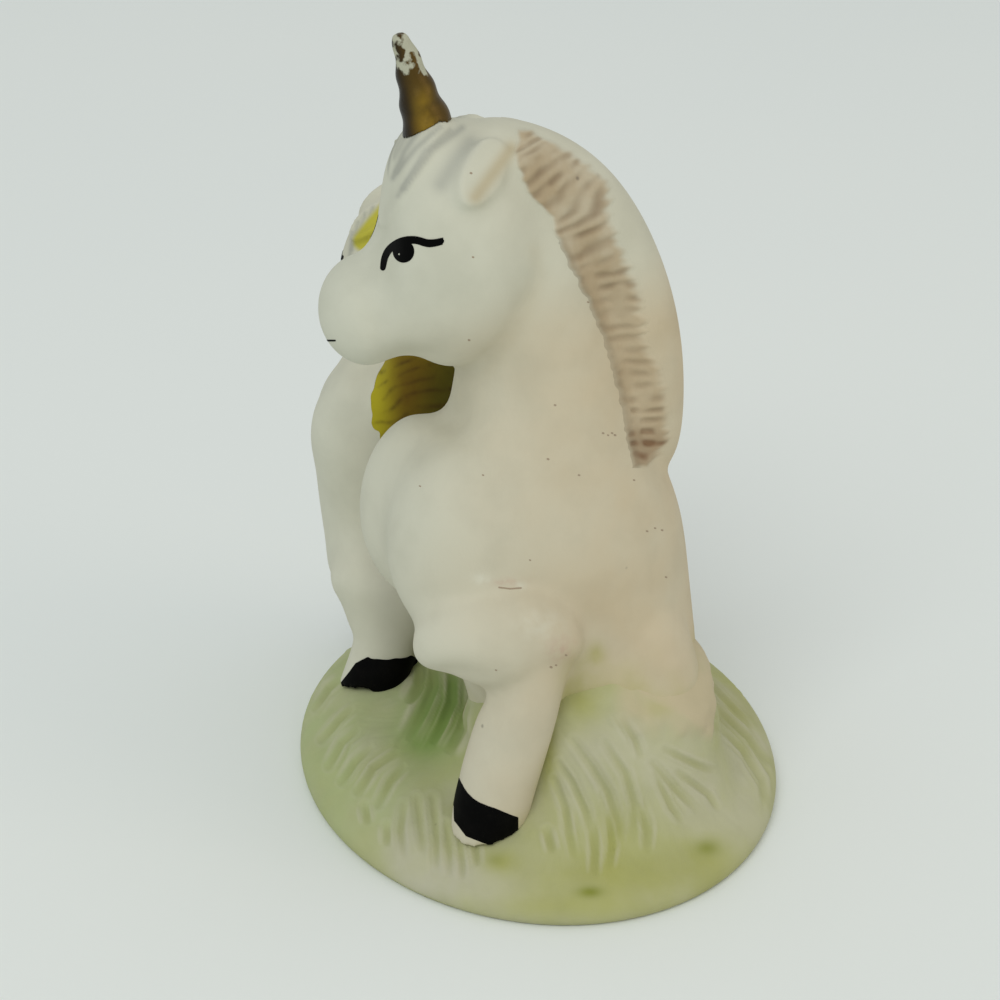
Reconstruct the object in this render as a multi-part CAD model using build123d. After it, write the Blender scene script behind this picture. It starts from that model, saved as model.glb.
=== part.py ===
from build123d import *
import math
import os

# Grass base: an oval mound, flat underneath, with a knoll and a vent hole under each animal
base_length = 84.6
base_width = 63.2
base_height = 8.8
vent_diameter = 6.0

# Larger animal: its lengths, the heights taken from its seat on the mound
crown_height = 85.2
body_depth = 40.0
body_breadth = 28.0
head_length = 25.0
head_height = 30.4
head_breadth = 23.0
muzzle_length = 12.0
muzzle_height = 13.4
muzzle_breadth = 14.0
horn_length = 10.6
horn_diameter = 7.4
horn_tip_diameter = 2.2
horn_ridge = 0.12
forelock_thickness = 1.2
forelock_breadth = 13.0
forelock_length = 15.0
ear_length = 10.0
ear_width = 5.2
ear_relief = 1.3
ear_floor = 0.6
ear_rim = 1.0
mane_thickness = 11.6
mane_breadth = 12.6
shoulder_length = 21.0
shoulder_height = 14.0
shoulder_breadth = 12.0
foreleg_depth = 10.4
foreleg_breadth = 9.2
large_hoof_rise = 2.2
small_hoof_rise = 3.6
haunch_length = 17.0
haunch_height = 32.0
haunch_breadth = 14.5
tail_diameter = 6.6

# Smaller animal: the same pieces at this share of those lengths, with a smaller horn
small_share = 0.87
small_horn_share = 0.6

# Seats: the room left between the two bodies for their legs, then shares of their spacing
# and of the base's width
pair_room = 8.5
large_seat_shares = (0.376, -0.047)
small_seat_shares = (-0.624, -0.150)

# Turns in degrees: each body on the mound, each head on its neck, the horn, the ears
# and the hoof's upper edge
large_body_turn = 10.0
large_head_turn = -10.0
small_body_turn = -18.0
small_head_turn = -52.0
horn_lean = 16.0
ear_lean = 33.0
ear_roll = 24.0
large_hoof_slope = 30.0
small_hoof_slope = 4.0

# Mound sections from the foot to its level top: height share, girth share
mound_shares = [
    (0.00, 0.985),
    (0.17, 1.000),
    (0.40, 0.975),
    (0.62, 0.915),
    (0.80, 0.825),
    (0.92, 0.710),
    (1.00, 0.540),
]

# Knoll under each animal, set towards its outer side: crown height share, back, front and breadth shares
knoll_shares = [
    (-0.060, -0.600, 0.260, 0.620),
    (0.000, -0.590, 0.240, 0.595),
    (0.060, -0.575, 0.215, 0.545),
    (0.110, -0.550, 0.180, 0.475),
    (0.155, -0.500, 0.130, 0.385),
    (0.190, -0.400, 0.050, 0.270),
    (0.207, -0.300, -0.050, 0.160),
]
large_knoll_share = 0.120
small_knoll_share = -0.120

# Body and neck sections: crown height share, back depth share, breadth share
body_shares = [
    (-0.080, -0.580, 0.446),
    (0.016, -0.568, 0.464),
    (0.110, -0.550, 0.471),
    (0.204, -0.530, 0.486),
    (0.297, -0.505, 0.500),
    (0.391, -0.468, 0.500),
    (0.461, -0.410, 0.457),
    (0.532, -0.345, 0.400),
    (0.602, -0.300, 0.343),
    (0.672, -0.260, 0.314),
    (0.766, -0.190, 0.293),
    (0.865, -0.100, 0.264),
    (0.955, -0.010, 0.230),
]
large_front_shares = [
    0.150, 0.175, 0.212, 0.300, 0.415, 0.470, 0.450, 0.350, 0.250, 0.225, 0.250, 0.280, 0.280
]
small_front_shares = [
    0.290, 0.360, 0.430, 0.480, 0.500, 0.500, 0.480, 0.420, 0.340, 0.290, 0.270, 0.270, 0.250
]
neck_seam_share = 0.52
large_breast_shares = (0.275, 0.200, 0.396)
small_breast_shares = (0.245, 0.200, 0.410)
breast_size_shares = (0.490, 0.600, 0.310)

# Head sections along its length: length share from the neck's axis, bottom and top height shares,
# breadth share
head_shares = [
    (-0.152, 0.250, 0.690, 0.260),
    (-0.076, 0.155, 0.890, 0.390),
    (0.076, 0.045, 0.968, 0.487),
    (0.268, 0.000, 0.972, 0.500),
    (0.420, 0.020, 0.890, 0.448),
    (0.516, 0.033, 0.660, 0.374),
    (0.592, 0.040, 0.498, 0.310),
    (0.688, 0.060, 0.430, 0.270),
]
muzzle_place_shares = (0.605, 0.245)
forelock_place_shares = (0.400, 0.800)
horn_place_shares = (0.310, 0.955)
ear_place_shares = (0.110, 0.340, 0.850)

# Head seats: depth share of the neck's axis, crown height share of the jaw
large_head_shares = (0.125, 0.637)
small_head_shares = (0.030, 0.520)

# Horn: turns of the spiral ridge, sections to a turn, and the round of its tip as lift and girth shares
horn_turns = 4
horn_sections = 6
horn_tip_shares = [(0.55, 0.83), (0.90, 0.44)]

# Mane sections from the poll down: depth, breadth and crown height shares, then thickness and breadth shares
large_mane_shares = [
    (0.215, 0.000, 0.945, 0.55, 0.70),
    (0.040, 0.000, 0.918, 0.86, 0.95),
    (-0.095, 0.000, 0.852, 1.16, 1.00),
    (-0.220, 0.000, 0.772, 1.10, 1.00),
    (-0.310, 0.000, 0.672, 1.00, 1.00),
    (-0.345, 0.000, 0.567, 0.95, 1.00),
    (-0.355, 0.000, 0.485, 0.80, 0.90),
    (-0.355, 0.000, 0.440, 0.40, 0.55),
]
small_mane_shares = [
    (0.020, 0.020, 0.865, 0.45, 0.70),
    (-0.060, 0.150, 0.815, 0.70, 0.95),
    (-0.090, 0.265, 0.710, 0.75, 1.10),
    (-0.040, 0.340, 0.600, 0.70, 1.15),
    (0.030, 0.390, 0.505, 0.60, 1.10),
    (0.055, 0.410, 0.440, 0.30, 0.75),
]
large_mane_across = (0, 1, 0)
small_mane_across = (1, 0.2, 0)

# Shoulders: depth, breadth and crown height shares
large_shoulder_shares = (0.235, 0.440, 0.280)
small_shoulder_shares = (0.155, 0.440, 0.150)

# Foreleg sections from the shoulder down: crown height, depth and breadth shares, then a thickness share
large_foreleg_shares = [
    (0.255, 0.150, 0.462, 1.00),
    (0.165, 0.165, 0.470, 0.96),
    (0.075, 0.222, 0.478, 0.98),
    (0.000, 0.262, 0.482, 0.94),
    (-0.080, 0.298, 0.486, 0.96),
]
small_foreleg_shares = [
    (0.125, 0.150, 0.470, 1.08),
    (0.080, 0.155, 0.490, 1.00),
    (0.040, 0.170, 0.515, 1.00),
    (0.000, 0.195, 0.535, 1.02),
    (-0.080, 0.220, 0.555, 1.06),
]

# How far the right foreleg is drawn back and in, as depth and breadth shares
large_drawn_shares = (0.270, 0.075)
small_drawn_shares = (0.0, 0.0)

# Haunch's place, and the tail's sections: depth, breadth and crown height shares, then a thickness share
haunch_place_shares = (-0.270, 0.300, 0.100)
tail_shares = [
    (-0.480, -0.120, 0.190, 0.60),
    (-0.555, -0.260, 0.085, 0.90),
    (-0.490, -0.420, 0.025, 1.00),
    (-0.330, -0.500, 0.005, 0.90),
    (-0.180, -0.520, -0.005, 0.55),
]
vent_place_share = -0.150


def main_solid(shape):
    return max(shape.solids(), key=lambda solid: solid.volume)


def ellipsoid(long, wide, tall):
    return scale(Sphere(1), by=(long / 2, wide / 2, tall / 2))


def mound():
    sections = []
    for height_share, girth_share in mound_shares:
        outline = Ellipse(base_length * girth_share / 2, base_width * girth_share / 2)
        sections.append(Pos(0, 0, base_height * height_share) * outline)
    return loft(sections)


class Animal:
    def __init__(self, name, share):
        self.name = name
        self.share = share
        self.depth = body_depth * share
        self.breadth = body_breadth * share
        self.height = crown_height * share
        self.head_length = head_length * share
        self.head_height = head_height * share
        self.head_breadth = head_breadth * share

    def sit(self, seat_shares, body_turn, front_shares, breast_shares):
        spacing = body_breadth * (1 + small_share) / 2 + pair_room
        self.seat = Pos(spacing * seat_shares[0], base_width * seat_shares[1], base_height)
        self.seat = self.seat * Rot(0, 0, body_turn - 90)
        self.front_shares = front_shares
        self.breast_shares = breast_shares

    def carry_head(self, neck_shares, head_turn, horn_share, mane_shares, mane_across):
        self.axis_shift = neck_shares[0] - large_head_shares[0]
        self.neck_share = neck_shares[1] / large_head_shares[1]
        self.head_seat = self.seat * self.on_body(neck_shares[0], 0, neck_shares[1]) * Rot(0, 0, head_turn)
        self.horn_share = horn_share
        self.mane_shares = mane_shares
        self.mane_across = mane_across

    def stand_forelegs(self, shoulder_shares, foreleg_shares, drawn_shares, hoof_rise, hoof_slope):
        self.shoulder_shares = shoulder_shares
        self.foreleg_shares = foreleg_shares
        self.drawn_shares = drawn_shares
        self.hoof_rise = hoof_rise * self.share
        self.hoof_slope = hoof_slope

    def on_body(self, depth_share, breadth_share, height_share):
        return Pos(self.depth * depth_share, self.breadth * breadth_share, self.height * height_share)

    def knoll(self, outer_share):
        sections = []
        for height_share, back_share, front_share, breadth_share in knoll_shares:
            place = self.on_body((back_share + front_share) / 2, outer_share, height_share)
            outline = Ellipse(self.depth * (front_share - back_share) / 2, self.breadth * breadth_share)
            sections.append(place * outline)
        return self.seat * loft(sections)

    def body(self):
        sections = []
        for (height_share, back_share, breadth_share), front_share in zip(body_shares, self.front_shares):
            rise = max(height_share - neck_seam_share, 0)
            lean_share = self.axis_shift * min(rise / (large_head_shares[1] - neck_seam_share), 1)
            shortening = rise * (1 - self.neck_share)
            place = self.on_body((back_share + front_share) / 2 + lean_share, 0, height_share - shortening)
            outline = Ellipse(self.depth * (front_share - back_share) / 2, self.breadth * breadth_share)
            sections.append(place * outline)
        form = loft(sections)
        long, wide, tall = breast_size_shares
        depth_share, breadth_share, height_share = self.breast_shares
        for side in (1, -1):
            breast = ellipsoid(self.depth * long, self.breadth * wide, self.height * tall)
            form += self.on_body(depth_share, side * breadth_share, height_share) * breast
        return self.seat * form

    def on_head(self, length_share, breadth_share, height_share):
        length = self.head_length * length_share
        return Pos(length, self.head_breadth * breadth_share, self.head_height * height_share)

    def head(self, growth=0):
        sections = []
        for length_share, low_share, high_share, breadth_share in head_shares:
            place = self.on_head(length_share, 0, (low_share + high_share) / 2)
            tall = self.head_height * (high_share - low_share) / 2 + growth
            outline = Plane.YZ * Ellipse(self.head_breadth * breadth_share + growth, tall)
            sections.append(place * outline)
        form = loft(sections)
        muzzle = ellipsoid(
            muzzle_length * self.share, muzzle_breadth * self.share, muzzle_height * self.share
        )
        form += self.on_head(muzzle_place_shares[0], 0, muzzle_place_shares[1]) * muzzle
        return self.head_seat * form

    def forelock(self):
        length = forelock_length * self.share
        lock = ellipsoid(length, forelock_breadth * self.share, length)
        place = self.on_head(forelock_place_shares[0], 0, forelock_place_shares[1])
        return (self.head_seat * place * lock) & self.head(forelock_thickness * self.share)

    def horn(self):
        share = self.share * self.horn_share
        root = horn_diameter * share / 2
        length = horn_length * share + root
        ridge = horn_ridge * share
        steps = horn_turns * horn_sections
        sections = []
        for step in range(steps + 1):
            along = step / steps
            diameter = horn_diameter + (horn_tip_diameter - horn_diameter) * along
            angle = math.tau * step / horn_sections
            place = Pos(ridge * math.cos(angle), ridge * math.sin(angle), length * along - root)
            sections.append(place * Circle(diameter * share / 2))
        tip = horn_tip_diameter * share / 2
        for lift_share, girth_share in horn_tip_shares:
            sections.append(place * Pos(0, 0, tip * lift_share) * Circle(tip * girth_share))
        place = self.on_head(horn_place_shares[0], 0, horn_place_shares[1])
        return self.head_seat * place * Rot(0, horn_lean, 0) * loft(sections)

    def ear(self, side):
        depth_share, breadth_share, height_share = ear_place_shares
        place = self.on_head(depth_share, side * breadth_share, height_share)
        place = self.head_seat * place * Rot(side * ear_roll, -ear_lean, 0)
        length = ear_length * self.share
        width = ear_width * self.share
        rim = 2 * ear_rim * self.share
        leaf = place * ellipsoid(width, length, length)
        hollow = place * ellipsoid(width - rim, length, length - rim)
        return (leaf & self.head(ear_relief * self.share)) - (hollow - self.head(ear_floor * self.share))

    def mane(self):
        spots = [self.on_body(*row[:3]).position for row in self.mane_shares]
        sections = []
        for number, (_, _, _, thickness_share, breadth_share) in enumerate(self.mane_shares):
            before = spots[max(number - 1, 0)]
            after = spots[min(number + 1, len(spots) - 1)]
            plane = Plane(origin=spots[number], x_dir=self.mane_across, z_dir=after - before)
            broad = mane_breadth * self.share * breadth_share / 2
            thick = mane_thickness * self.share * thickness_share / 2
            sections.append(plane * Ellipse(broad, thick))
        return self.seat * loft(sections)

    def on_leg(self, side, depth_share, breadth_share, height_share):
        back_share, in_share = self.drawn_shares if side < 0 else (0, 0)
        return self.on_body(depth_share - back_share, side * (breadth_share - in_share), height_share)

    def foreleg(self, side):
        form = ellipsoid(
            shoulder_length * self.share, shoulder_breadth * self.share, shoulder_height * self.share
        )
        form = self.on_leg(side, *self.shoulder_shares) * form
        sections = []
        for height_share, depth_share, breadth_share, thickness_share in self.foreleg_shares:
            radius_share = self.share * thickness_share / 2
            outline = Ellipse(foreleg_depth * radius_share, foreleg_breadth * radius_share)
            sections.append(self.on_leg(side, depth_share, breadth_share, height_share) * outline)
        return self.seat * (form + loft(sections))

    def hoof_line(self, side):
        _, depth_share, breadth_share, _ = self.foreleg_shares[-2]
        place = self.on_leg(side, depth_share, breadth_share, 0) * Pos(0, 0, self.hoof_rise)
        return Plane(self.seat * place * Rot(0, -self.hoof_slope, 0))

    def haunch(self, side):
        depth_share, breadth_share, height_share = haunch_place_shares
        lobe = ellipsoid(haunch_length * self.share, haunch_breadth * self.share, haunch_height * self.share)
        return self.seat * self.on_body(depth_share, side * breadth_share, height_share) * lobe

    def tail(self):
        spots = [self.on_body(*row[:3]).position for row in tail_shares]
        sections = []
        for number, row in enumerate(tail_shares):
            before = spots[max(number - 1, 0)]
            after = spots[min(number + 1, len(spots) - 1)]
            plane = Plane(origin=spots[number], x_dir=(-1, -1, 0), z_dir=after - before)
            sections.append(plane * Circle(tail_diameter * self.share * row[3] / 2))
        return self.seat * loft(sections)


def pieces(animal, base):
    body = animal.body()
    head = animal.head()
    seam = Plane(animal.seat * Pos(0, 0, animal.height * neck_seam_share))
    nodes = {}
    nodes["torso"] = split(body, bisect_by=seam, keep=Keep.BOTTOM) - base
    nodes["head"] = head
    nodes["forelock"] = animal.forelock() - head
    nodes["horn"] = animal.horn() - head - nodes["forelock"]
    for side, word in ((1, "left"), (-1, "right")):
        nodes[word + "_ear"] = animal.ear(side) - head - nodes["forelock"]
    neck = split(body, bisect_by=seam, keep=Keep.TOP) - head
    nodes["neck"] = neck - nodes["forelock"] - nodes["left_ear"] - nodes["right_ear"]
    nodes["mane"] = animal.mane() - body - head - nodes["left_ear"] - nodes["right_ear"]
    for side, word in ((1, "left"), (-1, "right")):
        leg = animal.foreleg(side) - body - base
        line = animal.hoof_line(side)
        nodes[word + "_foreleg"] = split(leg, bisect_by=line, keep=Keep.TOP)
        nodes[word + "_fore_hoof"] = split(leg, bisect_by=line, keep=Keep.BOTTOM)
        nodes[word + "_haunch"] = animal.haunch(side) - body - base - leg
    nodes["tail"] = animal.tail() - body - base - nodes["right_haunch"]
    return {animal.name + "_" + word: main_solid(form) for word, form in nodes.items()}


os.makedirs("parts", exist_ok=True)
large = Animal("large", 1)
large.sit(large_seat_shares, large_body_turn, large_front_shares, large_breast_shares)
large.carry_head(large_head_shares, large_head_turn, 1, large_mane_shares, large_mane_across)
large.stand_forelegs(
    large_shoulder_shares, large_foreleg_shares, large_drawn_shares, large_hoof_rise, large_hoof_slope
)
small = Animal("small", small_share)
small.sit(small_seat_shares, small_body_turn, small_front_shares, small_breast_shares)
small.carry_head(small_head_shares, small_head_turn, small_horn_share, small_mane_shares, small_mane_across)
small.stand_forelegs(
    small_shoulder_shares, small_foreleg_shares, small_drawn_shares, small_hoof_rise, small_hoof_slope
)
base = mound() + large.knoll(large_knoll_share) + small.knoll(small_knoll_share)
vented = base
for animal in (large, small):
    vent = Cylinder(vent_diameter / 2, crown_height)
    vented -= animal.seat * animal.on_body(vent_place_share, 0, 0) * vent
nodes = {"grass_base": main_solid(vented)}
for animal in (large, small):
    nodes |= pieces(animal, base)
for node, solid in nodes.items():
    export_step(solid, f"parts/{node}.step")
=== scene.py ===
import math

import bmesh
import bpy
import numpy as np
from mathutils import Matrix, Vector, noise
from mathutils.bvhtree import BVHTree


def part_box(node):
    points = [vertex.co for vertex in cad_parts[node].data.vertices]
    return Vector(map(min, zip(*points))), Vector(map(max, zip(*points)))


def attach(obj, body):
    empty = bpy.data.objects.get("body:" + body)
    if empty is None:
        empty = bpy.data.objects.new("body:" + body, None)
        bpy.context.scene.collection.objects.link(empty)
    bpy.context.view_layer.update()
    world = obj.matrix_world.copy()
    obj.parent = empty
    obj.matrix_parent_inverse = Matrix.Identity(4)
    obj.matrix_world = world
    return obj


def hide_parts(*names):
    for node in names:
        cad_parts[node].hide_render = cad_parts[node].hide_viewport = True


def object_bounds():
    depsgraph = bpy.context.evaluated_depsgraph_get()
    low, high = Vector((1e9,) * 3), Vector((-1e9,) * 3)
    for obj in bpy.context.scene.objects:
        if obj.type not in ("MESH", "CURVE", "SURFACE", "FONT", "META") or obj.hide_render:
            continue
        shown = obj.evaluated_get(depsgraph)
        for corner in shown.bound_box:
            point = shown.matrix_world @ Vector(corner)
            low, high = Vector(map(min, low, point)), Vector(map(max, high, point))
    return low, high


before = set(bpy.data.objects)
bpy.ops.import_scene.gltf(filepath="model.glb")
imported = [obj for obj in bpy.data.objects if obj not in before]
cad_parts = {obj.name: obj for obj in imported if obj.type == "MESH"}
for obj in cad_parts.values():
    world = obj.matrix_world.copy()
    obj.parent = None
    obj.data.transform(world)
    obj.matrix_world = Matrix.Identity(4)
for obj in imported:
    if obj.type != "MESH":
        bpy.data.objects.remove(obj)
cad_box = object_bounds()
scene = bpy.context.scene
scene.view_settings.view_transform = "Standard"

# Studio sweep: a pale grey-white card that the figure stands on, lit by a broad soft
# sky, a wide neutral key over the camera's shoulder and a weak warm fill from the right.
def new_node(nodes, kind, **values):
    """A shader node with its named inputs set; an underscore stands for a space in the name."""
    node = nodes.new(kind)
    for name, value in values.items():
        node.inputs[name.replace("_", " ")].default_value = value
    return node


card_half = 4.0
floor_corners = [(x * card_half, y * card_half, 0) for x, y in ((-1, -1), (1, -1), (1, 1), (-1, 1))]
floor_mesh = bpy.data.meshes.new("studio_floor")
floor_mesh.from_pydata(floor_corners, [], [(0, 1, 2, 3)])
floor = bpy.data.objects.new("studio_floor", floor_mesh)
scene.collection.objects.link(floor)
floor_paper = bpy.data.materials.new("floor_paper")
floor_paper.use_nodes = True
paper_nodes = floor_paper.node_tree.nodes
paper_shader = paper_nodes["Principled BSDF"]
paper_shader.inputs["Roughness"].default_value = 0.9
paper_shader.inputs["Specular IOR Level"].default_value = 0.1
paper_tone = new_node(paper_nodes, "ShaderNodeTexNoise", Scale=6.0)
paper_ramp = paper_nodes.new("ShaderNodeValToRGB")
paper_ramp.color_ramp.elements[0].color = (0.81, 0.85, 0.83, 1)
paper_ramp.color_ramp.elements[1].color = (0.84, 0.87, 0.84, 1)
paper_place = paper_nodes.new("ShaderNodeTexCoord")
paper_links = floor_paper.node_tree.links
paper_links.new(paper_place.outputs["Object"], paper_tone.inputs["Vector"])
paper_links.new(paper_tone.outputs["Fac"], paper_ramp.inputs["Fac"])
paper_links.new(paper_ramp.outputs["Color"], paper_shader.inputs["Base Color"])
floor_mesh.materials.append(floor_paper)

sky = bpy.data.worlds.new("studio_sky")
scene.world = sky
sky.use_nodes = True
sky_light = sky.node_tree.nodes["Background"].inputs
sky_light["Color"].default_value = (0.97, 1.0, 1.0, 1)
sky_light["Strength"].default_value = 0.62
lamps_aim = Vector((0, -0.01, 0.05))
for lamp_name, place, wide, power, tint in (
    ("key_softbox", (1.25, -0.75, 1.45), 1.20, 11.5, (0.98, 1.0, 0.99)),
    ("warm_fill", (0.80, 1.10, 0.60), 0.90, 2.6, (1.0, 0.84, 0.64)),
):
    lamp_data = bpy.data.lights.new(lamp_name, "AREA")
    lamp_data.shape = "DISK"
    lamp_data.size = wide
    lamp_data.energy = power
    lamp_data.color = tint
    lamp = bpy.data.objects.new(lamp_name, lamp_data)
    lamp.location = place
    lamp.rotation_euler = (lamps_aim - Vector(place)).to_track_quat("-Z", "Y").to_euler()
    scene.collection.objects.link(lamp)

view_turn, view_rise = math.radians(80), math.radians(24)
view_distance, frame_width = 0.300, 0.118
aim = Vector((0.0259, -0.0094, 0.050))
look = Vector((math.cos(view_rise) * math.sin(view_turn), -math.cos(view_rise) * math.cos(view_turn),
               math.sin(view_rise)))
lens_angle = 2 * math.atan(frame_width / 2 / view_distance)
camera_data = bpy.data.cameras.new("photo_camera")
camera_data.sensor_fit = "HORIZONTAL"
camera_data.angle = lens_angle
camera = bpy.data.objects.new("photo_camera", camera_data)
camera.location = aim + look * view_distance
camera.rotation_euler = (-look).to_track_quat("-Z", "Y").to_euler()
scene.collection.objects.link(camera)
scene.camera = camera


# Grass mound: a slip-cast oval base, its grass cut in with long tapering strokes while
# the clay was soft, then fired unglazed with a pale green wash airbrushed over it.
def castings(*nodes):
    return [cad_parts[node].data for node in nodes]


def cast_form(name, meshes, grain, fillet, soften):
    """The castings luted into one form: hollows along the joints filled to a round, then softened."""
    clay = bmesh.new()
    for mesh in meshes:
        clay.from_mesh(mesh)
    bmesh.ops.remove_doubles(clay, verts=clay.verts, dist=1e-6)
    bmesh.ops.recalc_face_normals(clay, faces=clay.faces)
    rough = bpy.data.meshes.new(name)
    clay.to_mesh(rough)
    clay.free()
    form = bpy.data.objects.new(name, rough)
    scene.collection.objects.link(form)
    if fillet:
        swell = form.modifiers.new("swell", "DISPLACE")
        swell.mid_level = 0
        swell.strength = fillet
    fuse = form.modifiers.new("fuse", "REMESH")
    fuse.mode = "VOXEL"
    fuse.voxel_size = grain
    if fillet:
        shrink = form.modifiers.new("shrink", "DISPLACE")
        shrink.mid_level = 0
        shrink.strength = -fillet
    rub = form.modifiers.new("rub", "SMOOTH")
    rub.factor = 0.5
    rub.iterations = soften
    bpy.context.view_layer.update()
    shaped = form.evaluated_get(bpy.context.evaluated_depsgraph_get())
    finished = bpy.data.meshes.new_from_object(shaped)
    form.modifiers.clear()
    form.data = finished
    bpy.data.meshes.remove(rough)
    finished.name = name
    finished.polygons.foreach_set("use_smooth", [True] * len(finished.polygons))
    return form


def points_of(form):
    found = np.zeros(len(form.data.vertices) * 3)
    form.data.vertices.foreach_get("co", found)
    return found.reshape(-1, 3)


def normals_of(form):
    found = np.zeros(len(form.data.vertices) * 3, np.float32)
    form.data.vertex_normals.foreach_get("vector", found)
    return found.reshape(-1, 3).astype(float)


def move_points(form, points):
    form.data.vertices.foreach_set("co", points.ravel())
    form.data.update()


def thumb(form, amount):
    """Soft clay pushed along its own normals by the amount in metres, inwards where it is negative."""
    move_points(form, points_of(form) + normals_of(form) * amount[:, None])


def mark(form, name, values):
    """A painted amount from 0 to 1 kept at every point of the form."""
    layer = form.data.attributes.new(name, "FLOAT", "POINT")
    layer.data.foreach_set("value", np.clip(values, 0, 1).astype(np.float32))


def drift(points, size, seed):
    """Slow random change over the surface, about -1 to 1."""
    start = Vector((seed, 2.7 * seed, -seed))
    return np.array([noise.noise(Vector(point) / size + start) for point in points])


def fade(none, full, value):
    """A soft step from 0 to 1 as the value goes from the first limit to the second."""
    share = np.clip((value - none) / (full - none), 0, 1)
    return share * share * (3 - 2 * share)


def band(value, none, full, still_full, gone):
    return fade(none, full, value) * fade(gone, still_full, value)


photo_half = 500
pixels_per_metre = 8500
photo_side = np.array(look)


def on_photo(points):
    """Where each point shows from the photograph's side, on a frame of 1000 by 1000."""
    right = np.array(look.cross(Vector((0, 0, 1))).normalized()) * -1
    up = np.cross(right, -photo_side)
    offset = points - np.array(camera.location)
    depth = offset @ -photo_side
    scale = photo_half / math.tan(lens_angle / 2)
    across = photo_half + scale * (offset @ right) / depth
    return np.stack([across, photo_half - scale * (offset @ up) / depth], 1)


def from_stroke(spots, pixels):
    """Distance from a brush stroke drawn through the spots, and the share along it."""
    best = np.full(len(pixels), 1e9)
    along = np.zeros(len(pixels))
    for number, (start, end) in enumerate(zip(spots[:-1], spots[1:])):
        start = np.array(start, float)
        run = np.array(end, float) - start
        share = np.clip(((pixels - start) @ run) / (run @ run), 0, 1)
        away = np.linalg.norm(pixels - start - share[:, None] * run, axis=1)
        nearer = away < best
        along = np.where(nearer, (number + share) / (len(spots) - 1), along)
        best = np.where(nearer, away, best)
    return best, along


def patches(pixels, dabs):
    """Soft brush dabs on the photograph's side: middle, half-widths and strength of each."""
    amount = np.zeros(len(pixels))
    for (x, y), wide, tall, strong in dabs:
        amount += strong * np.exp(-((pixels[:, 0] - x) / wide) ** 2 - ((pixels[:, 1] - y) / tall) ** 2)
    return amount


def sponge(form, weights, rounds, rub):
    """Wet-sponging: hollows fill as much as the weight says, ridges wear down only by the rub."""
    points, out = points_of(form), normals_of(form)
    ends = np.zeros(len(form.data.edges) * 2, int)
    form.data.edges.foreach_get("vertices", ends)
    pairs = ends.reshape(-1, 2)
    used, pairs = np.unique(pairs[(weights[pairs] > 0).any(axis=1)], return_inverse=True)
    one, other = pairs.reshape(-1, 2).T
    some, away, weight = points[used], out[used], 0.6 * weights[used][:, None]
    count = np.bincount(pairs.ravel(), minlength=len(used))[:, None]
    for _ in range(rounds):
        sums = [np.bincount(one, some[other, axis], len(used))
                + np.bincount(other, some[one, axis], len(used)) for axis in range(3)]
        pull = np.stack(sums, 1) / count - some
        hollow = (pull * away).sum(axis=1)[:, None] > 0
        some += weight * np.where(hollow, pull, rub * pull)
    points[used] = some
    move_points(form, points)


def gap_to(points, node, reach):
    """Distance from each point to one casting, up to the reach."""
    clay = bmesh.new()
    clay.from_mesh(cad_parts[node].data)
    shape = BVHTree.FromBMesh(clay)
    clay.free()
    low, high = (np.array(corner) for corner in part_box(node))
    gaps = np.full(len(points), reach)
    close = ((points > low - reach) & (points < high + reach)).all(axis=1)
    for number in np.flatnonzero(close).tolist():
        gaps[number] = min(shape.find_nearest(Vector(points[number]))[3], reach)
    return gaps


mound = cast_form("carved_grass_mound", castings("grass_base"), grain=0.00029, fillet=0, soften=4)
above_rim, slope_band = (0.0020, 0.0050), (0.0030, 0.0060, 0.0092, 0.0115)
sponge(mound, fade(*above_rim, points_of(mound)[:, 2]), rounds=120, rub=1.0)
sponge(mound, band(points_of(mound)[:, 2], *slope_band), rounds=560, rub=1.0)
ground, out = points_of(mound), normals_of(mound)
height = ground[:, 2]
photo_ground = on_photo(ground)
across, down = photo_ground.T
underside, grazing = 0.0005, (-0.06, 0.10)
shown = fade(*grazing, out @ photo_side) * (height > underside)

# Strokes and dabs on the seen side are placed by where they show on the photograph's frame.
right_strokes = (
    ((621, 721), (634, 740), (641, 760)), ((605, 743), (625, 773), (634, 805), (634, 844)),
    ((651, 763), (673, 789), (699, 815)), ((654, 773), (670, 808), (683, 825)),
    ((677, 773), (706, 795), (719, 812)), ((573, 740), (592, 766), (608, 792), (618, 825), (618, 854)),
    ((560, 763), (573, 782), (586, 812), (592, 838)), ((556, 779), (566, 808), (569, 834), (576, 864)),
    ((547, 831), (553, 854)), ((592, 825), (595, 854), (594, 877)), ((608, 812), (612, 847), (608, 870)),
    ((638, 805), (647, 831), (647, 854)), ((664, 750), (690, 763), (712, 773)),
    ((712, 727), (742, 750), (761, 779), (765, 805)), ((719, 714), (748, 737), (768, 766)),
    ((706, 682), (729, 704), (748, 724)),
)
hollow_strokes = (
    ((433, 662), (434, 688), (423, 714), (407, 743)), ((452, 675), (452, 704), (443, 727), (433, 747)),
    ((467, 708), (462, 730), (449, 756)), ((423, 662), (420, 688), (410, 708)),
)
left_strokes = (
    ((342, 782), (355, 763), (374, 747)), ((358, 792), (374, 769), (400, 753)),
    ((322, 740), (339, 721), (355, 708)), ((316, 708), (329, 688), (342, 678)),
    ((306, 691), (316, 675), (329, 662)), ((329, 766), (342, 743), (361, 730)),
    ((378, 805), (391, 782), (407, 766)), ((404, 805), (400, 831), (404, 857)),
    ((417, 799), (420, 828), (423, 854)), ((433, 799), (436, 838), (436, 870)),
    ((446, 825), (449, 851), (449, 877)), ((459, 841), (462, 864), (462, 880)),
    ((387, 825), (387, 847)), ((365, 805), (368, 825)), ((475, 844), (477, 867)),
)
groove = np.zeros(len(ground))
lip = np.zeros(len(ground))
blunt_start, taper_power = 0.08, 0.6


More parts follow.
